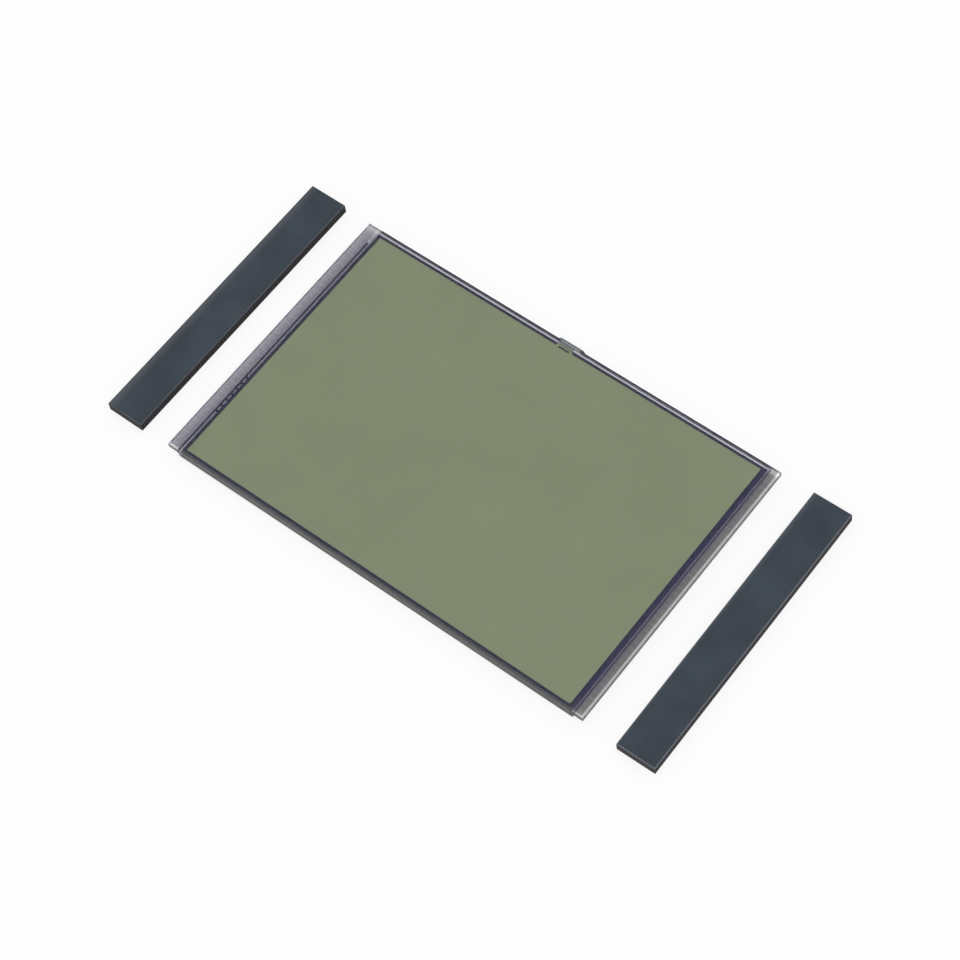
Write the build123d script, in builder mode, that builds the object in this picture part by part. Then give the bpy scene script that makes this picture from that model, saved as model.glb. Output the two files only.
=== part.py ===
# A reflective liquid crystal display with its two rubber connector strips.
#
# The display is a sandwich of two glasses. The front glass is the longer one, and its two
# short ends stand out past the rear glass as ledges that carry the contacts on their
# undersides. In use a strip of layered rubber presses on each ledge. Here both strips are
# off, and lie flat beside the display.
#
# +X runs along the display's long side, +Y to the long side with the fill port, and +Z out
# of its front. The origin is the middle of its back, which lies on the plane z = 0.

from build123d import *
import os

# Driving dimensions in millimetres

# Glasses
display_length = 100.0
display_width = 62.2
glass_thickness = 1.1
contact_ledge = 2.4

# Films on the outer faces, with the bare rim that each leaves along the glass's sides
polarizer_thickness = 0.15
reflector_thickness = 0.05
front_rim_left = 0.15
front_rim_right = 0.5
front_rim_near = 0.5
front_rim_far = 0.15
rear_rim_left = 0.1
rear_rim_right = 0.55
rear_rim_near = 0.4
rear_rim_far = 0.35

# Layers in the cell, each drawn thicker than the real one so that it is a solid
electrode_thickness = 0.02
alignment_thickness = 0.02
liquid_depth = 0.04

# Seal, as insets from the rear glass's sides
seal_inset = 0.15
seal_corner = 0.8
liquid_inset_left = 0.84
liquid_inset_right = 1.43
liquid_inset_near = 1.32
liquid_inset_far = 1.1
liquid_corner = 0.5

# Fill port in the far side of the seal, and the pillar in its mouth
port_centre = -0.3
port_width = 3.6
port_lip = 0.8
pillar_length = 2.5
pillar_width = 0.2
pillar_gap = 0.05

# Resin plug in the port, and its bead on the edges of both glasses
plug_depth = 0.6
bead_centre = 0.4
bead_length = 6.4
bead_height = 1.8
bead_bulge = 0.7
bead_round = 0.5

# Contact rows, and the electrodes that they feed
contact_pitch = 1.52
contact_width = 1.2
contact_end_gap = 0.3
contact_step_gap = 0.1
contact_side_margin = 1.5
lead_width = 0.6
stripe_width = 1.36
stripe_side_gap = 0.4
stripe_middle_gap = 0.16

# Rows near the left ledge's near end that reach the rear glass through transfer dots
first_common_row = 7
common_row_count = 7
dot_inset = 0.19
dot_radius = 0.16
tab_inset = 0.02

# Resin line in the step between the left ledge and the rear glass
ledge_bead_width = 0.55
ledge_bead_height = 0.4
ledge_bead_sag = 0.1
ledge_bead_far_gap = 3.6

# Connector strips
strip_overhang = 0.25
strip_width = 8.5
barrier_thickness = 0.75
core_thickness = 0.8
barrier_round = 0.1
layer_pitch = 0.76
conductor_thickness = 0.38
left_strip_gap = 7.19
left_strip_shift = 0.4
left_strip_turn = -0.23
right_strip_gap = 7.54
right_strip_shift = -0.06
right_strip_turn = 0.49

# Heights that follow, from the back to the front
rear_polarizer_base = reflector_thickness
rear_glass_base = rear_polarizer_base + polarizer_thickness
cell_floor = rear_glass_base + glass_thickness
cell_gap = 2 * electrode_thickness + 2 * alignment_thickness + liquid_depth
cell_ceiling = cell_floor + cell_gap
contact_base = cell_ceiling - electrode_thickness
front_polarizer_base = cell_ceiling + glass_thickness

# Sides of the glasses
glass_far = display_width / 2
glass_near = -glass_far
front_right = display_length / 2
front_left = -front_right
rear_right = front_right - contact_ledge
rear_left = -rear_right

# Sides of the liquid, which is also the seal's inner outline
liquid_left = rear_left + liquid_inset_left
liquid_right = rear_right - liquid_inset_right
liquid_near = glass_near + liquid_inset_near
liquid_far = glass_far - liquid_inset_far

# Ends of the fill port along X
port_left = port_centre - port_width / 2
port_right = port_centre + port_width / 2

# Places of the electrodes along X
stripe_left = liquid_left + stripe_side_gap
stripe_right = liquid_right - stripe_side_gap
stripe_middle = (stripe_left + stripe_right) / 2
left_stripe_end = stripe_middle - stripe_middle_gap / 2
right_stripe_end = stripe_middle + stripe_middle_gap / 2
dot_x = rear_left + dot_inset

# Contact rows, counted from the middle of the ledge towards +Y
outer_row = int((glass_far - contact_side_margin) / contact_pitch)
rows = range(-outer_row, outer_row + 1)
common_rows = [-(first_common_row + step) for step in range(common_row_count)]
left_segment_rows = [row for row in rows if row not in common_rows]

# Length of each strip, and how many layers of each kind its core holds
strip_length = display_width + 2 * strip_overhang
conductor_count = int(strip_length / layer_pitch)

os.makedirs("parts", exist_ok=True)


def block(left, right, near, far, mode=Mode.ADD):
    """Draws a rectangle by its four sides, in the sketch that is being made."""
    with Locations(((left + right) / 2, (near + far) / 2)):
        Rectangle(right - left, far - near, mode=mode)


def rounded_block(left, right, near, far, corner, mode=Mode.ADD):
    """Draws a rectangle with round corners by its four sides."""
    with Locations(((left + right) / 2, (near + far) / 2)):
        RectangleRounded(right - left, far - near, corner, mode=mode)


def bars(left, right, width, chosen_rows):
    """Draws a bar of one width from left to right on each of the chosen contact rows."""
    middle = (left + right) / 2
    with Locations([(middle, row * contact_pitch) for row in chosen_rows]):
        Rectangle(right - left, width)


# Reflector, the lowest layer

with BuildPart() as reflector:
    with BuildSketch():
        block(rear_left + rear_rim_left, rear_right - rear_rim_right,
              glass_near + rear_rim_near, glass_far - rear_rim_far)
    extrude(amount=reflector_thickness)
reflector.part.label = "reflector"
export_step(reflector.part, "parts/reflector.step")

# Rear polarizer, cut in one go with the reflector

with BuildPart() as rear_polarizer:
    with BuildSketch(Plane.XY.offset(rear_polarizer_base)):
        block(rear_left + rear_rim_left, rear_right - rear_rim_right,
              glass_near + rear_rim_near, glass_far - rear_rim_far)
    extrude(amount=polarizer_thickness)
rear_polarizer.part.label = "rear_polarizer"
export_step(rear_polarizer.part, "parts/rear_polarizer.step")

# Rear glass

with BuildPart() as rear_glass:
    with BuildSketch(Plane.XY.offset(rear_glass_base)):
        block(rear_left, rear_right, glass_near, glass_far)
    extrude(amount=glass_thickness)
rear_glass.part.label = "rear_glass"
export_step(rear_glass.part, "parts/rear_glass.step")

# Front glass, longer than the rear one by both ledges

with BuildPart() as front_glass:
    with BuildSketch(Plane.XY.offset(cell_ceiling)):
        block(front_left, front_right, glass_near, glass_far)
    extrude(amount=glass_thickness)
front_glass.part.label = "front_glass"
export_step(front_glass.part, "parts/front_glass.step")

# Front polarizer

with BuildPart() as front_polarizer:
    with BuildSketch(Plane.XY.offset(front_polarizer_base)):
        block(front_left + front_rim_left, front_right - front_rim_right,
              glass_near + front_rim_near, glass_far - front_rim_far)
    extrude(amount=polarizer_thickness)
front_polarizer.part.label = "front_polarizer"
export_step(front_polarizer.part, "parts/front_polarizer.step")

# Front electrodes: on each row a contact pad on the ledge, a lead under the seal and a
# stripe over half the viewing area. The common rows have no stripe of their own on the
# left, so there the right one runs right across.

with BuildPart() as front_electrodes:
    with BuildSketch(Plane.XY.offset(contact_base)):
        bars(front_left + contact_end_gap, rear_left - contact_step_gap, contact_width, rows)
        bars(rear_right + contact_step_gap, front_right - contact_end_gap, contact_width, rows)
        bars(rear_left - contact_step_gap, stripe_left, lead_width, left_segment_rows)
        bars(rear_left - contact_step_gap, dot_x + dot_radius, lead_width, common_rows)
        bars(stripe_right, rear_right + contact_step_gap, lead_width, rows)
        bars(stripe_left, left_stripe_end, stripe_width, left_segment_rows)
        bars(right_stripe_end, stripe_right, stripe_width, left_segment_rows)
        bars(stripe_left, stripe_right, stripe_width, common_rows)
    extrude(amount=electrode_thickness)
front_electrodes.part.label = "front_electrodes"
export_step(front_electrodes.part, "parts/front_electrodes.step")

# Rear electrode: one common sheet, with a tab that reaches the dots under the seal

tab_near = min(common_rows) * contact_pitch - stripe_width / 2
tab_far = max(common_rows) * contact_pitch + stripe_width / 2
sheet_far = outer_row * contact_pitch + stripe_width / 2

with BuildPart() as rear_electrode:
    with BuildSketch(Plane.XY.offset(cell_floor)):
        block(stripe_left, stripe_right, -sheet_far, sheet_far)
        block(rear_left + tab_inset, stripe_left, tab_near, tab_far)
    extrude(amount=electrode_thickness)
rear_electrode.part.label = "rear_electrode"
export_step(rear_electrode.part, "parts/rear_electrode.step")

# Transfer dots, which carry the common rows down to the rear electrode

with BuildPart() as transfer_dots:
    with BuildSketch(Plane.XY.offset(cell_floor + electrode_thickness)):
        with Locations([(dot_x, row * contact_pitch) for row in common_rows]):
            Circle(dot_radius)
    extrude(amount=cell_gap - 2 * electrode_thickness)
transfer_dots.part.label = "transfer_dots"
export_step(transfer_dots.part, "parts/transfer_dots.step")

# Perimeter seal, open at the fill port, where two lips lead out to the glasses' edge. The
# pillar stands just inside the port. Leads, tab and dots pass through the seal.

pillar_far = liquid_far - pillar_gap

with BuildPart() as perimeter_seal:
    with BuildSketch(Plane.XY.offset(cell_floor)):
        rounded_block(rear_left + seal_inset, rear_right - seal_inset,
                      glass_near + seal_inset, glass_far - seal_inset, seal_corner)
        block(port_left - port_lip, port_right + port_lip, liquid_far, glass_far)
        rounded_block(liquid_left, liquid_right, liquid_near, liquid_far, liquid_corner,
                      Mode.SUBTRACT)
        block(port_left, port_right, pillar_far, glass_far, Mode.SUBTRACT)
        block(port_centre - pillar_length / 2, port_centre + pillar_length / 2,
              pillar_far - pillar_width, pillar_far)
    extrude(amount=cell_gap)
    add(front_electrodes.part, mode=Mode.SUBTRACT)
    add(rear_electrode.part, mode=Mode.SUBTRACT)
    add(transfer_dots.part, mode=Mode.SUBTRACT)
perimeter_seal.part.label = "perimeter_seal"
export_step(perimeter_seal.part, "parts/perimeter_seal.step")

# Alignment films: the rear one coats the rear electrode and the glass around it, and the
# front one is a plain sheet across the front electrodes and the narrow gaps between them

with BuildPart() as rear_alignment_film:
    with BuildSketch(Plane.XY.offset(cell_floor)):
        rounded_block(liquid_left, liquid_right, liquid_near, liquid_far, liquid_corner)
    extrude(amount=electrode_thickness + alignment_thickness)
    add(rear_electrode.part, mode=Mode.SUBTRACT)
    add(perimeter_seal.part, mode=Mode.SUBTRACT)
rear_alignment_film.part.label = "rear_alignment_film"
export_step(rear_alignment_film.part, "parts/rear_alignment_film.step")

with BuildPart() as front_alignment_film:
    with BuildSketch(Plane.XY.offset(contact_base - alignment_thickness)):
        rounded_block(liquid_left, liquid_right, liquid_near, liquid_far, liquid_corner)
    extrude(amount=alignment_thickness)
    add(perimeter_seal.part, mode=Mode.SUBTRACT)
front_alignment_film.part.label = "front_alignment_film"
export_step(front_alignment_film.part, "parts/front_alignment_film.step")

# Liquid crystal, between the films and out through the port as far as the plug

plug_near = glass_far - plug_depth

with BuildPart() as liquid_crystal:
    with BuildSketch(Plane.XY.offset(cell_floor + electrode_thickness + alignment_thickness)):
        rounded_block(liquid_left, liquid_right, liquid_near, liquid_far, liquid_corner)
    extrude(amount=liquid_depth)
    with BuildSketch(Plane.XY.offset(cell_floor)):
        block(port_left, port_right, liquid_far, plug_near)
    extrude(amount=cell_gap)
    add(perimeter_seal.part, mode=Mode.SUBTRACT)
liquid_crystal.part.label = "liquid_crystal"
export_step(liquid_crystal.part, "parts/liquid_crystal.step")

# End plug: a web of resin in the port, and the bead that it ends in on the glasses' edges

with BuildPart() as end_plug:
    with BuildSketch(Plane.XY.offset(cell_floor)):
        block(port_left, port_right, plug_near, glass_far)
    extrude(amount=cell_gap)
    with BuildSketch(Plane.XZ.offset(-glass_far)):
        with Locations((bead_centre, cell_floor + cell_gap / 2)):
            SlotOverall(bead_length, bead_height)
    extrude(amount=-bead_bulge)
    fillet(end_plug.faces().sort_by(Axis.Y)[-1].edges(), bead_round)
end_plug.part.label = "end_plug"
export_step(end_plug.part, "parts/end_plug.step")

# Ledge bead: a fillet of resin under the left ledge, along the rear glass's end

with BuildPart() as ledge_bead:
    with BuildSketch(Plane.XZ.offset(-glass_near)):
        with BuildLine():
            along_ledge = Line((rear_left, cell_ceiling),
                               (rear_left - ledge_bead_width, cell_ceiling))
            hollow = SagittaArc(along_ledge @ 1, (rear_left, cell_ceiling - ledge_bead_height),
                                ledge_bead_sag)
            Line(hollow @ 1, along_ledge @ 0)
        make_face()
    extrude(amount=-(display_width - ledge_bead_far_gap))
    add(front_electrodes.part, mode=Mode.SUBTRACT)
ledge_bead.part.label = "ledge_bead"
export_step(ledge_bead.part, "parts/ledge_bead.step")

# Connector strips: a core of conducting and insulating layers between two plain barriers.
# The layers stand across the strip, so that each conductor joins the strip's two long
# narrow faces.

left_strip_place = Location((front_left - left_strip_gap - strip_width / 2, left_strip_shift),
                            left_strip_turn)
right_strip_place = Location((front_right + right_strip_gap + strip_width / 2,
                              right_strip_shift), right_strip_turn)

for side, place in (("left", left_strip_place), ("right", right_strip_place)):
    base = Plane(place)

    with BuildPart() as lower_barrier:
        with BuildSketch(base):
            Rectangle(strip_width, strip_length)
        extrude(amount=barrier_thickness)
        fillet(lower_barrier.edges().group_by(Axis.Z)[0], barrier_round)
    lower_barrier.part.label = f"{side}_lower_barrier"
    export_step(lower_barrier.part, f"parts/{side}_lower_barrier.step")

    with BuildPart() as core_conductors:
        with BuildSketch(base.offset(barrier_thickness)):
            with GridLocations(0, layer_pitch, 1, conductor_count):
                Rectangle(strip_width, conductor_thickness)
        extrude(amount=core_thickness)
    core_conductors.part.label = f"{side}_core_conductors"
    export_step(core_conductors.part, f"parts/{side}_core_conductors.step")

    with BuildPart() as core_insulators:
        with BuildSketch(base.offset(barrier_thickness)):
            Rectangle(strip_width, strip_length)
            with GridLocations(0, layer_pitch, 1, conductor_count):
                Rectangle(strip_width, conductor_thickness, mode=Mode.SUBTRACT)
        extrude(amount=core_thickness)
    core_insulators.part.label = f"{side}_core_insulators"
    export_step(core_insulators.part, f"parts/{side}_core_insulators.step")

    with BuildPart() as upper_barrier:
        with BuildSketch(base.offset(barrier_thickness + core_thickness)):
            Rectangle(strip_width, strip_length)
        extrude(amount=barrier_thickness)
        fillet(upper_barrier.edges().group_by(Axis.Z)[-1], barrier_round)
    upper_barrier.part.label = f"{side}_upper_barrier"
    export_step(upper_barrier.part, f"parts/{side}_upper_barrier.step")
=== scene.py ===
import functools
import math
import random

import bmesh
import bpy
from mathutils import Euler, Matrix, Vector


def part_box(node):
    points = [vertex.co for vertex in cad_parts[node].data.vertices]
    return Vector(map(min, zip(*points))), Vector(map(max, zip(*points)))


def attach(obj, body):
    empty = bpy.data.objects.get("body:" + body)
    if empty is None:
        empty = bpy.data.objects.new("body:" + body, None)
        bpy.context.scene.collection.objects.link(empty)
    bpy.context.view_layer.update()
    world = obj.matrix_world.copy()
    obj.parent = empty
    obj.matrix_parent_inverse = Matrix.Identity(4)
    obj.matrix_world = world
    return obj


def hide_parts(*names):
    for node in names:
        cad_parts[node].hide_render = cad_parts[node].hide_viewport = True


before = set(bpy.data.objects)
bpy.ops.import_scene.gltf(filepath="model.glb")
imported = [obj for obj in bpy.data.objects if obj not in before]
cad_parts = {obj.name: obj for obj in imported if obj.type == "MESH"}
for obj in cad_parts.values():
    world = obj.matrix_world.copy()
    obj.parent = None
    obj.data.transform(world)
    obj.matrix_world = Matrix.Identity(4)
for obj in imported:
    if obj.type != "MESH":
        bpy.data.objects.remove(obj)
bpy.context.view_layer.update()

BODY = "root"
SIDES = ("left", "right")
MM = 0.001

# The CAD pieces that others are placed by
front_low, front_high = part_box("front_glass")
rear_low, rear_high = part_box("rear_glass")
film_low, film_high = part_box("rear_polarizer")
plug_low, plug_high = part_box("end_plug")
liquid_low, liquid_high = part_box("liquid_crystal")

# The liquid's far side, the fill port in it, and the pillar in the port's mouth
LIQUID_FAR = 30.0 * MM
PORT_CENTRE = -0.3 * MM
PORT_REACH = 1.8 * MM
PILLAR_REACH = 1.25 * MM
PILLAR_NEAR = 29.75 * MM

# The stretch of the far edge where the port's bead has its full height
bead_radius = (plug_high.z - plug_low.z) / 2
bond_left = plug_low.x + bead_radius
bond_right = plug_high.x - bead_radius

# The gap that keeps two pieces from sharing a face
GAP = 0.004 * MM

# The panes' broken edges, and how far their far walls lean in
EDGE_STEP = 0.6 * MM
CHAMFER = 0.03 * MM
CHIP = 0.05 * MM
CHIP_SHARE = 0.3
CHIP_POWER = 3
FRONT_LEAN = 0.09 * MM
REAR_LEAN = 0.07 * MM

# The front film's cut edge
FILM_STEP = 2 * MM
FILM_CHAMFER = 0.015 * MM

# The transfer dots
CONTACT_PITCH = 1.52 * MM
DOT_SPREAD_IN = 1.5
DOT_SPREAD_ALONG = 1.9

# The width of the painted highlight along the strips' top edge
HIGHLIGHT_WIDTH = 0.12 * MM

# A face counts as facing along an axis, as a strip's round top edge, or as its flat top, where
# at least this part of its normal lies along that axis
FACING = 0.8
ROUND_EDGE = 0.08
FLAT_TOP = 0.97


# Materials

# Values of a noise between which a colour or a roughness goes from one end to the other
LUMP_LOW = 0.3
LUMP_HIGH = 0.7

GLASS_INDEX = 1.52


def shade(red, green, blue):
    """Turns a screen colour of 0 to 255 into the linear one that a shader takes."""
    linear = []
    for value in (red, green, blue):
        part = value / 255
        linear.append(part / 12.92 if part <= 0.04045 else ((part + 0.055) / 1.055) ** 2.4)
    return (*linear, 1.0)


class Paint:
    """A node material that is being built around one Principled shader."""

    def __init__(self, name, **settings):
        self.material = bpy.data.materials.new(name)
        self.material.use_nodes = True
        self.nodes = self.material.node_tree.nodes
        self.links = self.material.node_tree.links
        self.shader = self.nodes["Principled BSDF"]
        for socket, value in settings.items():
            self.shader.inputs[socket.replace("_", " ")].default_value = value

    def node(self, kind, **settings):
        made = self.nodes.new(kind)
        for key, value in settings.items():
            setattr(made, key, value)
        return made

    def link(self, source, target):
        self.links.new(source, target)

    def noise(self, grain, detail=3, rough=0.5, stretch=(1, 1, 1)):
        """Makes a noise in the part's own frame, whose lumps are about grain metres across."""
        coordinates = self.node("ShaderNodeTexCoord")
        mapping = self.node("ShaderNodeMapping")
        mapping.inputs["Scale"].default_value = tuple(part / grain for part in stretch)
        self.link(coordinates.outputs["Object"], mapping.inputs["Vector"])
        made = self.node("ShaderNodeTexNoise")
        made.inputs["Scale"].default_value = 1
        made.inputs["Detail"].default_value = detail
        made.inputs["Roughness"].default_value = rough
        self.link(mapping.outputs["Vector"], made.inputs["Vector"])
        return made.outputs["Fac"]

    def place(self, axis):
        """Gives the place along an axis of the part's own frame."""
        coordinates = self.node("ShaderNodeTexCoord")
        parts = self.node("ShaderNodeSeparateXYZ")
        self.link(coordinates.outputs["Object"], parts.inputs["Vector"])
        return parts.outputs[axis]

    def far_out(self, axis, middle=0.0):
        """Gives the distance from a middle along an axis of the part's own frame."""
        return self.maths("ABSOLUTE", self.maths("SUBTRACT", self.place(axis), middle))

    def ramp(self, source, *stops):
        """Maps a value through colour stops, each a position and a colour."""
        made = self.node("ShaderNodeValToRGB")
        elements = made.color_ramp.elements
        while len(elements) < len(stops):
            elements.new(0.5)
        for element, (position, colour) in zip(elements, stops):
            element.position = position
            element.color = colour
        self.link(source, made.inputs["Fac"])
        return made.outputs["Color"]

    def lumps(self, grain, dark, light):
        """Makes a colour that wavers between two, in lumps about grain metres across."""
        return self.ramp(self.noise(grain), (LUMP_LOW, dark), (LUMP_HIGH, light))

    def scaled(self, source, low, high, new_low, new_high):
        """Maps a value from one range to another, and clamps it there."""
        made = self.node("ShaderNodeMapRange")
        for socket, value in (("From Min", low), ("From Max", high),
                              ("To Min", new_low), ("To Max", new_high)):
            made.inputs[socket].default_value = value
        self.link(source, made.inputs["Value"])
        return made.outputs["Result"]

    def fade(self, axis, start, end, first, last):
        """Goes from a first value to a last one between two places along an axis."""
        return self.scaled(self.place(axis), start, end, first, last)

    def mixed(self, share, first, second):
        """Mixes two colours, each a socket or a colour, by a share of the second."""
        made = self.node("ShaderNodeMix", data_type="RGBA")
        self.link(share, made.inputs["Factor"])
        sockets = {socket.name: socket for socket in made.inputs if socket.type == "RGBA"}
        for name, colour in (("A", first), ("B", second)):
            if isinstance(colour, tuple):
                sockets[name].default_value = colour
            else:
                self.link(colour, sockets[name])
        return next(socket for socket in made.outputs if socket.type == "RGBA")

    def maths(self, operation, *values):
        """Joins one or two values, each a socket or a number."""
        made = self.node("ShaderNodeMath", operation=operation)
        for socket, value in zip(made.inputs, values):
            if isinstance(value, (int, float)):
                socket.default_value = value
            else:
                self.link(value, socket)
        return made.outputs["Value"]

    def product(self, *values):
        """Gives a share that is high only where all of the values are."""
        return functools.reduce(lambda one, other: self.maths("MULTIPLY", one, other), values)

    def highest(self, *values):
        """Gives a share that is high where any of the values is."""
        return functools.reduce(lambda one, other: self.maths("MAXIMUM", one, other), values)

    def bump(self, source, height, strength):
        """Bumps the surface by height metres of a value."""
        made = self.node("ShaderNodeBump")
        made.inputs["Strength"].default_value = strength
        made.inputs["Distance"].default_value = height
        self.link(source, made.inputs["Height"])
        self.link(made.outputs["Normal"], self.shader.inputs["Normal"])

    def colour(self, source):
        self.link(source, self.shader.inputs["Base Color"])

    def opacity(self, source):
        self.link(source, self.shader.inputs["Alpha"])

    def rough_lumps(self, grain, smooth, rough):
        """Lets the roughness waver between two values, in lumps about grain metres across."""
        waver = self.scaled(self.noise(grain), LUMP_LOW, LUMP_HIGH, smooth, rough)
        self.link(waver, self.shader.inputs["Roughness"])


def glass_material():
    paint = Paint("glass", Roughness=0.0, IOR=GLASS_INDEX, Transmission_Weight=1.0)
    paint.colour(paint.lumps(8 * MM, shade(251, 251, 252), shade(254, 253, 254)))
    return paint.material


def glass_edge_material():
    """A pane's broken edge, which has waves along it and reflects less than the faces do.

    Its near wall has painted shade, and its far wall is darker to the left of the fill port.
    """
    gloss_tint = (0.78, 0.78, 0.78, 1.0)
    near_shade_share = 0.8
    far_share = 0.7
    paint = Paint("glass_edge", Roughness=0.0, IOR=GLASS_INDEX, Transmission_Weight=1.0,
                  Specular_Tint=gloss_tint)
    tint = paint.lumps(8 * MM, shade(142, 146, 150), shade(164, 168, 172))
    # Painted shade: the tint turns darker along the near wall.
    near = paint.fade("Y", front_low.y + 0.1 * MM, front_low.y + 0.2 * MM, near_shade_share, 0)
    far = paint.fade("Y", front_high.y - 0.6 * MM, front_high.y - 0.1 * MM, 0, far_share)
    left_of_port = paint.fade("X", plug_low.x, plug_low.x + 0.5 * MM, 1, 0)
    tint = paint.mixed(near, tint, shade(112, 114, 118))
    paint.colour(paint.mixed(paint.product(far, left_of_port), tint, shade(84, 88, 94)))
    paint.bump(paint.noise(1.1 * MM, stretch=(0.3, 0.3, 1)), height=0.06 * MM, strength=0.5)
    return paint.material


def scored_glass_material():
    """The white, broken face that a glass cutter leaves."""
    paint = Paint("scored_glass", Roughness=1.0, IOR=GLASS_INDEX, Transmission_Weight=1.0,
                  Alpha=0.6)
    paint.colour(paint.lumps(0.4 * MM, shade(236, 236, 248), shade(250, 250, 254)))
    return paint.material


def front_film_material():
    """The polarizing film, which is a little warmer in colour over the right ledge.

    Light that the liquid sends back passes it better than light from under the ledges.
    """
    over_liquid = 0.17
    over_ledge = 0.30
    ledge = rear_high.x
    paint = Paint("front_film", IOR=1.45, Specular_IOR_Level=0.3)
    paint.opacity(paint.scaled(paint.far_out("X"), ledge - 0.3 * MM, ledge + 0.3 * MM,
                               over_liquid, over_ledge))
    film = paint.lumps(0.9 * MM, shade(33, 25, 84), shade(39, 30, 92))
    right = paint.fade("X", ledge + 0.4 * MM, ledge + 1.0 * MM, 0, 1)
    paint.colour(paint.mixed(right, film, shade(38, 25, 34)))
    paint.rough_lumps(12 * MM, smooth=0.36, rough=0.46)
    paint.bump(paint.noise(0.08 * MM, detail=1), height=0.002 * MM, strength=0.3)
    return paint.material


def liquid_material():
    """The field's even colour, with the shadow that the seal casts on the films behind it.

    It shows along the left and far sides and by the pillar, and less in the port's mouth.
    """
    mouth_share = 0.3
    paint = Paint("liquid", Roughness=0.5, Specular_IOR_Level=0.0)
    field = paint.ramp(paint.noise(20 * MM),
                       (0.25, shade(222, 240, 171)), (0.75, shade(226, 243, 176)))
    from_port = paint.far_out("X", PORT_CENTRE)
    left = paint.fade("X", liquid_low.x + 0.33 * MM, liquid_low.x + 0.45 * MM, 1, 0)
    far = paint.product(
        paint.fade("Y", LIQUID_FAR - 0.26 * MM, LIQUID_FAR - 0.14 * MM, 0, 1),
        paint.scaled(from_port, PORT_REACH, PORT_REACH + 0.2 * MM, 0, 1))
    mouth = paint.fade("Y", LIQUID_FAR + 0.05 * MM, LIQUID_FAR + 0.2 * MM, 0, mouth_share)
    pillar = paint.product(
        paint.fade("Y", PILLAR_NEAR - 0.2 * MM, PILLAR_NEAR - 0.12 * MM, 0, 1),
        paint.fade("Y", PILLAR_NEAR, PILLAR_NEAR + 0.02 * MM, 1, 0),
        paint.scaled(from_port, PILLAR_REACH, PILLAR_REACH + 0.2 * MM, 1, 0))
    shadow = paint.highest(left, far, mouth, pillar)
    paint.colour(paint.mixed(shadow, field, shade(36, 44, 18)))
    return paint.material


def seal_material():
    paint = Paint("seal_resin", Roughness=0.5, Alpha=0.08, Specular_IOR_Level=0.0)
    paint.colour(paint.lumps(0.6 * MM, shade(120, 120, 150), shade(140, 140, 165)))
    return paint.material


def rear_film_material():
    """The dark rear film, which gets more light by its near edge than by its far one."""
    border = 3.225 * MM
    paint = Paint("rear_film", Roughness=0.35, Specular_IOR_Level=0.1)
    film = paint.lumps(3 * MM, shade(52, 50, 80), shade(58, 56, 88))
    start = film_high.y - border
    sides = paint.scaled(paint.far_out("Y"), start, start + 1.0 * MM, 0, 1)
    near = paint.fade("Y", film_low.y + 0.3 * MM, film_low.y + 1.1 * MM, 1, 0)
    far = paint.fade("Y", film_high.y - 0.7 * MM, film_high.y - 0.3 * MM, 0, 1)
    film = paint.mixed(sides, film, shade(62, 66, 66))
    film = paint.mixed(near, film, shade(102, 104, 104))
    paint.colour(paint.mixed(far, film, shade(14, 15, 18)))
    return paint.material


def reflector_material():
    paint = Paint("reflector_film", Metallic=1.0, Roughness=0.35)
    paint.colour(paint.lumps(4 * MM, shade(196, 199, 200), shade(212, 214, 214)))
    paint.bump(paint.noise(1.2 * MM), height=0.01 * MM, strength=0.4)
    return paint.material


def resin_material(name, dark, light, roughness, alpha=1.0, gloss=0.5):
    paint = Paint(name, Roughness=roughness, Alpha=alpha, Specular_IOR_Level=gloss)
    paint.colour(paint.lumps(0.8 * MM, dark, light))
    paint.bump(paint.noise(0.5 * MM), height=0.02 * MM, strength=0.4)
    return paint.material


def step_bead_material():
    """The dark piece in the step under the left ledge, which thins out to a clear edge."""
    thin_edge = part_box("ledge_bead")[0].x
    thin_opacity = 0.05
    paint = Paint("bead_resin", Roughness=0.25, Specular_IOR_Level=0.1)
    paint.colour(paint.lumps(0.8 * MM, shade(24, 24, 46), shade(36, 34, 60)))
    paint.opacity(paint.fade("X", thin_edge + 0.12 * MM, thin_edge + 0.47 * MM, thin_opacity, 1))
    return paint.material


def port_bead_material():
    """The clear resin outside the fill port, whose colour is darker close to the glass."""
    paint = Paint("plug_resin", Roughness=0.2, Transmission_Weight=0.85)
    clear = paint.lumps(0.8 * MM, shade(232, 236, 240), shade(246, 248, 250))
    near_glass = paint.fade("Y", front_high.y + 0.3 * MM, front_high.y + 0.5 * MM, 1, 0)
    paint.colour(paint.mixed(near_glass, clear, shade(72, 78, 82)))
    paint.bump(paint.noise(0.5 * MM), height=0.02 * MM, strength=0.4)
    return paint.material


def strip_top_material(side, paler_colour, width):
    """A strip's top, whose bloom is paler along its left edge."""
    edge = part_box(f"{side}_upper_barrier")[0].x
    least_share = 0.7
    paint = Paint(f"{side}_barrier_rubber", IOR=1.4)
    mottle = paint.noise(6 * MM, detail=6, rough=0.62)
    bloom = paint.ramp(mottle, (0.32, shade(44, 54, 64)), (0.5, shade(50, 60, 70)),
                       (0.68, shade(57, 68, 78)))
    pale = paint.product(
        paint.fade("X", edge + 0.3 * MM, edge + width, 1, 0),
        paint.scaled(mottle, LUMP_LOW, LUMP_HIGH, least_share, 1))
    paint.colour(paint.mixed(pale, bloom, paler_colour))
    paint.rough_lumps(3 * MM, smooth=0.58, rough=0.78)
    paint.bump(paint.noise(0.4 * MM, detail=5, rough=0.6), height=0.02 * MM, strength=0.5)
    return paint.material


def cut_rubber(name, dark, light):
    """Starts the paint of a cut rubber face or of a painted highlight edge, and gives its colour for
    more to come.
    """
    paint = Paint(name, Roughness=0.7, Specular_IOR_Level=0.12)
    paint.bump(paint.noise(0.2 * MM), height=0.01 * MM, strength=0.5)
    return paint, paint.lumps(0.4 * MM, dark, light)


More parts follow.
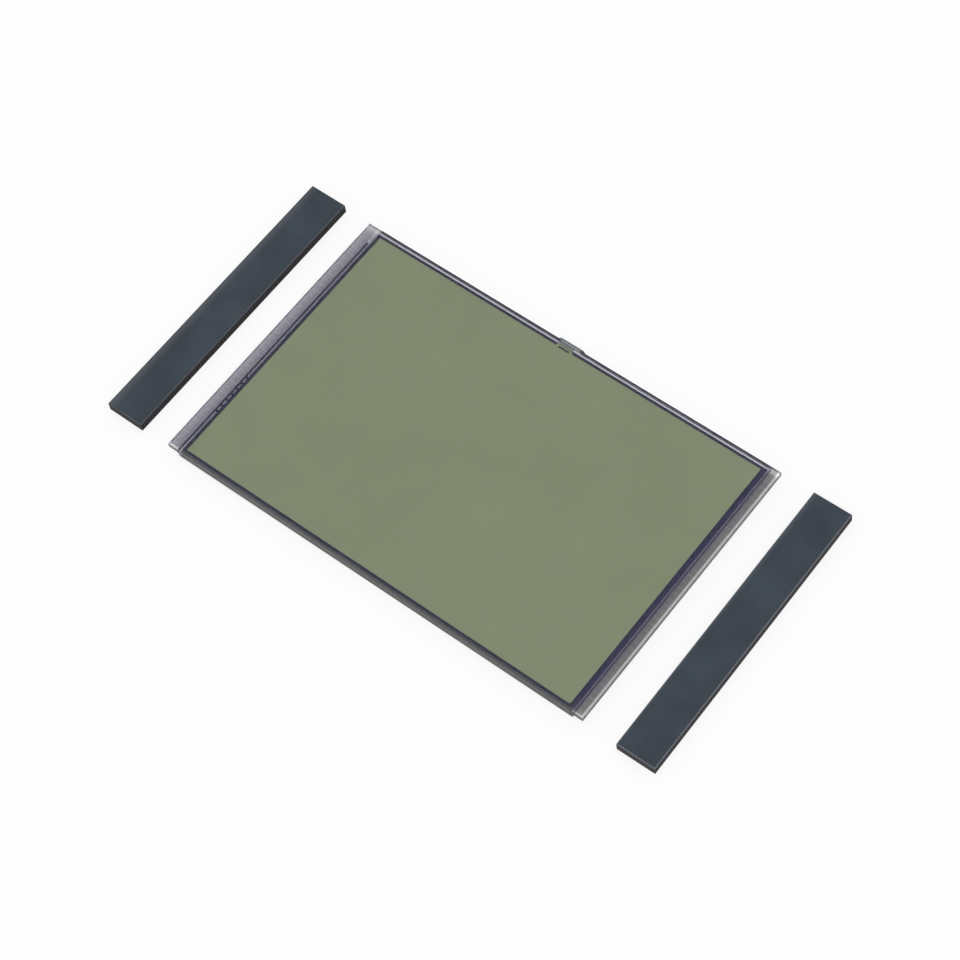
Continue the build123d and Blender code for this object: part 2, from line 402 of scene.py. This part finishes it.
def strip_side_material(side, dark, light, paler_colour):
    """The cut sides of a strip's plain layers, with a painted highlight near the top."""
    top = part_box(f"{side}_upper_barrier")[1].z
    paint, cut = cut_rubber(f"{side}_cut_barrier", dark, light)
    # Painted highlight: the sides turn lighter just under the top edge.
    highlighted = paint.fade("Z", top - 0.5 * MM, top - 0.25 * MM, 0, 1)
    paint.colour(paint.mixed(highlighted, cut, paler_colour))
    return paint.material


def rubber_material(name, dark, light):
    paint, cut = cut_rubber(name, dark, light)
    paint.colour(cut)
    return paint.material


CLEAR_GLASS = glass_material()
EDGE_GLASS = glass_edge_material()
SCORED_GLASS = scored_glass_material()
FRONT_FILM = front_film_material()
LIQUID = liquid_material()
SEAL = seal_material()
REAR_FILM = rear_film_material()
REFLECTOR = reflector_material()
DOT_PASTE = resin_material("dot_paste", shade(28, 28, 36), shade(40, 40, 50), roughness=0.6, gloss=0.0)
DARK_STEP_FILL = step_bead_material()
PORT_RESIN = resin_material("port_resin", shade(188, 206, 192), shade(198, 214, 202),
                            roughness=0.4)
PLUG_RESIN = port_bead_material()
PAD_COATING = resin_material("clear_electrode", shade(150, 150, 150), shade(165, 165, 160),
                             roughness=0.2, alpha=0.03)
STRIP_TOP = {
    "left": strip_top_material("left", paler_colour=shade(84, 88, 94), width=1.9 * MM),
    "right": strip_top_material("right", paler_colour=shade(76, 82, 90), width=1.1 * MM),
}
# The last colour of each is the painted highlight under the top edge.
STRIP_SIDE = {
    "left": strip_side_material("left", shade(38, 38, 42), shade(50, 49, 53), shade(66, 68, 73)),
    "right": strip_side_material("right", shade(50, 50, 54), shade(63, 63, 67), shade(74, 76, 81)),
}
# Painted highlight: the strips' round top edges and a thin rim of their tops are coloured lighter than
# the rest.
EDGE_HIGHLIGHT = {
    "left": rubber_material("left_edge_highlight", shade(78, 81, 88), shade(92, 95, 102)),
    "right": rubber_material("right_edge_highlight", shade(98, 101, 108), shade(116, 119, 126)),
}
CONDUCTOR = rubber_material("conductor_rubber", shade(14, 14, 16), shade(24, 24, 26))
INSULATOR = rubber_material("insulator_rubber", shade(48, 45, 47), shade(66, 61, 63))


# Meshes

def finished(shape, name, *materials):
    """Turns a shape into a mesh, and ends the shape."""
    mesh = bpy.data.meshes.new(name)
    shape.to_mesh(mesh)
    shape.free()
    for material in materials:
        mesh.materials.append(material)
    return mesh


def add_piece(name, mesh, slot, *nodes):
    """Makes a mesh a piece of the part that stands for CAD nodes."""
    piece = bpy.data.objects.new(name, mesh)
    bpy.context.scene.collection.objects.link(piece)
    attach(piece, BODY)
    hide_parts(*nodes)


def copied(node):
    """Copies a node's mesh as a shape whose faces share their corners."""
    weld = 1e-8
    shape = bmesh.new()
    shape.from_mesh(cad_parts[node].data)
    bmesh.ops.remove_doubles(shape, verts=shape.verts, dist=weld)
    return shape


def drawn_in(node, gap):
    """Copies a node's shape with all its faces drawn in by gap, so that no two pieces share a face."""
    same_direction = 0.05
    shape = copied(node)
    places = {}
    for corner in shape.verts:
        directions = []
        for face in corner.link_faces:
            if all((face.normal - known).length > same_direction for known in directions):
                directions.append(face.normal.copy())
        places[corner] = corner.co - gap * sum(directions, Vector())
    for corner, place in places.items():
        corner.co = place
    return shape


def walk_round(low, high, step, splits):
    """Walks round a rectangle in short steps, with a point at each split along x.

    Each point comes with the direction that leads inwards from it.
    """
    corners = ((low.x, low.y), (high.x, low.y), (high.x, high.y), (low.x, high.y))
    inwards = ((0, 1), (-1, 0), (0, -1), (1, 0))
    walk = []
    for index, start in enumerate(corners):
        end = corners[(index + 1) % len(corners)]
        count = round(math.dist(start, end) / step)
        shares = {part / count for part in range(count)}
        if start[1] == end[1]:
            shares |= {(split - start[0]) / (end[0] - start[0]) for split in splits}
        for share in sorted(shares):
            point = (start[0] + (end[0] - start[0]) * share, start[1] + (end[1] - start[1]) * share)
            inward = inwards[index]
            if share == 0:
                inward = (inward[0] + inwards[index - 1][0], inward[1] + inwards[index - 1][1])
            walk.append((point, inward))
    return walk


def sheet(low, high, chamfer, chip, step, seed, splits=(), lean=0.0):
    """A flat sheet's walls, with a small chamfer at both faces and chips along its broken edges.

    The far wall leans in by lean towards the rear face. Returns the shape and its lowest and
    highest rings of corners, which have no faces yet.
    """
    draw = random.Random(seed)
    walk = walk_round(low, high, step, splits)
    shape = bmesh.new()
    rings = []
    for height, on_face in ((low.z, 1), (low.z + chamfer, 0), (high.z - chamfer, 0), (high.z, 1)):
        far_inset = lean * (high.z - height) / (high.z - low.z)
        ring = []
        for (x, y), (in_x, in_y) in walk:
            inset = chamfer * on_face
            if on_face and draw.random() < CHIP_SHARE:
                inset += chip * draw.random() ** CHIP_POWER
            inset_y = inset + far_inset if in_y < 0 else inset
            ring.append(shape.verts.new((x + in_x * inset, y + in_y * inset_y, height)))
        rings.append(ring)
    for lower, upper in zip(rings, rings[1:]):
        for index in range(len(walk)):
            before = index - 1
            shape.faces.new((lower[before], lower[index], upper[index], upper[before]))
    return shape, rings[0], rings[-1]


def run_of(ring, keep):
    """Picks the one run of corners that keep says yes to, in their order round the ring."""
    first = next(index for index in range(len(ring)) if keep(ring[index]) and not keep(ring[index - 1]))
    return [corner for corner in ring[first:] + ring[:first] if keep(corner)]


# The display

# Places in a pane's list of materials, after the broken edge's
CLEAR = 1
SCORED = 2


def add_flat(shape, corners):
    shape.faces.new(corners).material_index = CLEAR


def open_at_bead(shape):
    """Opens the stretch of far wall that the port's bead is bonded to, because light passes there."""
    shape.normal_update()
    bonded = [face for face in shape.faces
              if face.normal.y > FACING and bond_left < face.calc_center_median().x < bond_right]
    bmesh.ops.delete(shape, geom=bonded, context="FACES_ONLY")


def front_pane():
    """The front glass. It has no rear face where the seal joins it, because light passes there."""
    touch = 0.001 * MM
    splits = (rear_low.x, rear_high.x, bond_left, bond_right)
    shape, lowest, highest = sheet(front_low, front_high, CHAMFER, CHIP, EDGE_STEP, seed=3,
                                   splits=splits, lean=FRONT_LEAN)
    open_at_bead(shape)
    add_flat(shape, highest)
    add_flat(shape, reversed(run_of(lowest, lambda corner: corner.co.x < rear_low.x + touch)))
    add_flat(shape, reversed(run_of(lowest, lambda corner: corner.co.x > rear_high.x - touch)))
    liquid = copied("liquid_crystal")
    for face in liquid.faces:
        if face.normal.z > FACING:
            places = [(corner.co.x, corner.co.y, front_low.z) for corner in face.verts]
            add_flat(shape, reversed([shape.verts.new(place) for place in places]))
    liquid.free()
    return finished(shape, "front_pane", EDGE_GLASS, CLEAR_GLASS)


def rear_pane():
    """The rear glass. Its front face is left out, and its left end is rough under the bead."""
    low = rear_low + Vector((0, 0, GAP))
    shape, lowest, _ = sheet(low, rear_high, CHAMFER, CHIP, EDGE_STEP, seed=5,
                             splits=(bond_left, bond_right), lean=REAR_LEAN)
    open_at_bead(shape)
    add_flat(shape, reversed(lowest))
    for face in shape.faces:
        if face.normal.x < -FACING:
            face.material_index = SCORED
    return finished(shape, "rear_pane", EDGE_GLASS, CLEAR_GLASS, SCORED_GLASS)


def front_film():
    low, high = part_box("front_polarizer")
    shape, lowest, highest = sheet(low + Vector((0, 0, GAP)), high, FILM_CHAMFER, 0.0, FILM_STEP,
                                   seed=7)
    shape.faces.new(reversed(lowest))
    shape.faces.new(highest)
    return finished(shape, "front_film", FRONT_FILM)


def contact_rows():
    """The bare contact pads under both ledges, cut off where the rear glass begins."""
    rows = bmesh.new()
    for end, outwards in ((rear_low.x, -1), (rear_high.x, 1)):
        row = drawn_in("front_electrodes", GAP)
        bmesh.ops.bisect_plane(row, geom=row.verts[:] + row.edges[:] + row.faces[:],
                               plane_co=(end + outwards * GAP, 0, 0), plane_no=(outwards, 0, 0),
                               clear_inner=True)
        mesh = finished(row, "row")
        rows.from_mesh(mesh)
        bpy.data.meshes.remove(mesh)
    return finished(rows, "contact_rows", PAD_COATING)


def liquid_field():
    """The liquid with its thin films, filling the cell from glass to glass."""
    middle = (liquid_low.z + liquid_high.z) / 2
    shape = copied("liquid_crystal")
    for corner in shape.verts:
        corner.co.z = front_low.z - GAP if corner.co.z > middle else rear_high.z + GAP
    return finished(shape, "liquid_field", LIQUID)


def paste_dots():
    """The transfer dots, which the two glasses have pressed a little wider than they were laid."""
    shape = drawn_in("transfer_dots", GAP)
    outer_side = min(corner.co.x for corner in shape.verts)
    for corner in shape.verts:
        middle = round(corner.co.y / CONTACT_PITCH) * CONTACT_PITCH
        corner.co.x = outer_side + (corner.co.x - outer_side) * DOT_SPREAD_IN
        corner.co.y = middle + (corner.co.y - middle) * DOT_SPREAD_ALONG
    return finished(shape, "dots", DOT_PASTE)


def port_bead():
    """The resin in the port, which is cloudy, and its clear bead, which is one with the glass."""
    bead, port = range(2)
    shape = drawn_in("end_plug", GAP)
    shape.normal_update()
    glass_edge = front_high.y
    for face in shape.faces:
        face.material_index = bead if face.calc_center_median().y > glass_edge else port
    bonded = [face for face in shape.faces
              if face.normal.y < -FACING and face.calc_center_median().y > glass_edge - 2 * GAP]
    bmesh.ops.delete(shape, geom=bonded, context="FACES_ONLY")
    return finished(shape, "port_bead", PLUG_RESIN, PORT_RESIN)


def top_layer(side):
    """A strip's upper layer: its top has a bloom, its sides are cut, and its round edge has a painted
    highlight.
    """
    bloom, cut, highlighted = range(3)
    shape = copied(f"{side}_upper_barrier")
    for face in shape.faces:
        face.material_index = highlighted if face.normal.z > ROUND_EDGE else cut
    flat = [face for face in shape.faces if face.normal.z > FLAT_TOP]
    bmesh.ops.inset_region(shape, faces=flat, thickness=HIGHLIGHT_WIDTH, use_even_offset=True)
    for face in flat:
        face.material_index = bloom
    return finished(shape, f"{side}_top_layer", STRIP_TOP[side], STRIP_SIDE[side], EDGE_HIGHLIGHT[side])


add_piece("front_pane", front_pane(), "glass", "front_glass")
add_piece("rear_pane", rear_pane(), "glass", "rear_glass")
add_piece("front_film", front_film(), "front_film", "front_polarizer")
add_piece("liquid_field", liquid_field(), "liquid",
          "liquid_crystal", "front_alignment_film", "rear_alignment_film", "rear_electrode")
add_piece("seal_line", finished(drawn_in("perimeter_seal", GAP), "seal_line", SEAL),
          "seal_resin", "perimeter_seal")
add_piece("dots", paste_dots(), "dot_paste", "transfer_dots")
add_piece("contact_rows", contact_rows(), "clear_electrode", "front_electrodes")
add_piece("step_bead", finished(drawn_in("ledge_bead", GAP), "step_bead", DARK_STEP_FILL),
          "bead_resin", "ledge_bead")
add_piece("port_bead", port_bead(), "plug_resin", "end_plug")

for side in SIDES:
    add_piece(f"{side}_top_layer", top_layer(side), "barrier_rubber", f"{side}_upper_barrier")


# CAD nodes that are seen as they are

NODE_MATERIALS = {
    "rear_polarizer": (REAR_FILM, "rear_film"),
    "reflector": (REFLECTOR, "reflector_film"),
}
for side in SIDES:
    NODE_MATERIALS[f"{side}_lower_barrier"] = (STRIP_SIDE[side], "barrier_rubber")
    NODE_MATERIALS[f"{side}_core_conductors"] = (CONDUCTOR, "conductor_rubber")
    NODE_MATERIALS[f"{side}_core_insulators"] = (INSULATOR, "insulator_rubber")

for name, (material, slot) in NODE_MATERIALS.items():
    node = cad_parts[name]
    node.data.materials.clear()
    node.data.materials.append(material)


# Floor, light and camera

def make_floor():
    """A pale floor, whose plain white the camera sees, and so do glass and shiny faces.

    They see none of it under the display, a little under its left ledge, and more further out.
    """
    size = 6
    drop = 0.02 * MM
    camera_share = 0.82
    glass_share = 0.75
    ledge_share = 0.4
    outer_ledge_share = 0.1
    bpy.ops.mesh.primitive_plane_add(size=size, location=(0, 0, -drop))
    floor = bpy.context.object
    floor.name = "floor"
    paint = Paint("floor", Roughness=0.9, Specular_IOR_Level=0.0)
    paint.colour(paint.lumps(0.5, shade(251, 251, 251), shade(253, 253, 253)))
    sideways = paint.scaled(paint.far_out("X"), front_high.x + 0.5 * MM, front_high.x + 2.5 * MM,
                            0, glass_share)
    beyond = paint.fade("Y", film_high.y, film_high.y + 0.1 * MM, 0, glass_share)
    before = paint.fade("Y", front_low.y - 1.0 * MM, front_low.y - 3.5 * MM, 0, glass_share)
    under_ledge = paint.product(
        paint.fade("X", rear_low.x, rear_low.x - 0.1 * MM, 0, 1),
        paint.fade("X", rear_low.x - 1.0 * MM, rear_low.x - 0.7 * MM,
                   outer_ledge_share, ledge_share))
    rays = paint.node("ShaderNodeLightPath").outputs
    through = paint.highest(rays["Is Glossy Ray"], rays["Is Transmission Ray"])
    share = paint.highest(
        paint.product(rays["Is Camera Ray"], camera_share),
        paint.product(through, paint.highest(sideways, under_ledge, beyond, before)))
    white = paint.node("ShaderNodeEmission")
    mix = paint.node("ShaderNodeMixShader")
    paint.link(share, mix.inputs["Fac"])
    paint.link(paint.shader.outputs["BSDF"], mix.inputs[1])
    paint.link(white.outputs["Emission"], mix.inputs[2])
    paint.link(mix.outputs["Shader"], paint.nodes["Material Output"].inputs["Surface"])
    floor.data.materials.append(paint.material)


def make_light():
    """One large lamp overhead, to the right and in front of the display."""
    place = Vector((0.4, -0.3, 1.2))
    data = bpy.data.lights.new("overhead", "AREA")
    data.shape = "DISK"
    data.size = 0.8
    data.energy = 2.2
    light = bpy.data.objects.new("overhead", data)
    light.location = place
    light.rotation_euler = (-place).to_track_quat("-Z", "Y").to_euler()
    bpy.context.scene.collection.objects.link(light)


def make_world():
    """A soft white sky that is brighter near the horizon than overhead."""
    low_sky = 0.95
    high_sky = 0.85
    fade_end = 0.6
    world = bpy.data.worlds.new("studio")
    world.use_nodes = True
    nodes = world.node_tree.nodes
    links = world.node_tree.links
    coordinates = nodes.new("ShaderNodeTexCoord")
    parts = nodes.new("ShaderNodeSeparateXYZ")
    fade = nodes.new("ShaderNodeMapRange")
    fade.interpolation_type = "SMOOTHSTEP"
    for socket, value in (("From Min", 0.0), ("From Max", fade_end),
                          ("To Min", low_sky), ("To Max", high_sky)):
        fade.inputs[socket].default_value = value
    links.new(coordinates.outputs["Generated"], parts.inputs["Vector"])
    links.new(parts.outputs["Z"], fade.inputs["Value"])
    links.new(fade.outputs["Result"], nodes["Background"].inputs["Strength"])
    nodes["Background"].inputs["Color"].default_value = (1, 1, 1, 1)
    bpy.context.scene.world = world


def make_camera():
    """Places the camera as the photo's own was, by the point where its axis meets the table."""
    azimuth = math.radians(46.892)
    elevation = math.radians(60.058)
    roll = math.radians(-10.316)
    distance = 0.5422
    aim = Vector((0.003412, -0.001774, 0))
    data = bpy.data.cameras.new("camera")
    data.lens = 106.91
    data.sensor_width = 36
    data.clip_start = 0.01
    data.clip_end = 20
    camera = bpy.data.objects.new("camera", data)
    turn = Euler((math.pi / 2 - elevation, 0, azimuth)).to_matrix().to_4x4()
    turn @= Matrix.Rotation(roll, 4, "Z")
    back = turn.to_3x3() @ Vector((0, 0, 1))
    camera.matrix_world = Matrix.Translation(aim + back * distance) @ turn
    bpy.context.scene.collection.objects.link(camera)
    bpy.context.scene.camera = camera


make_floor()
make_world()
make_light()
make_camera()
bpy.context.scene.view_settings.view_transform = "Standard"
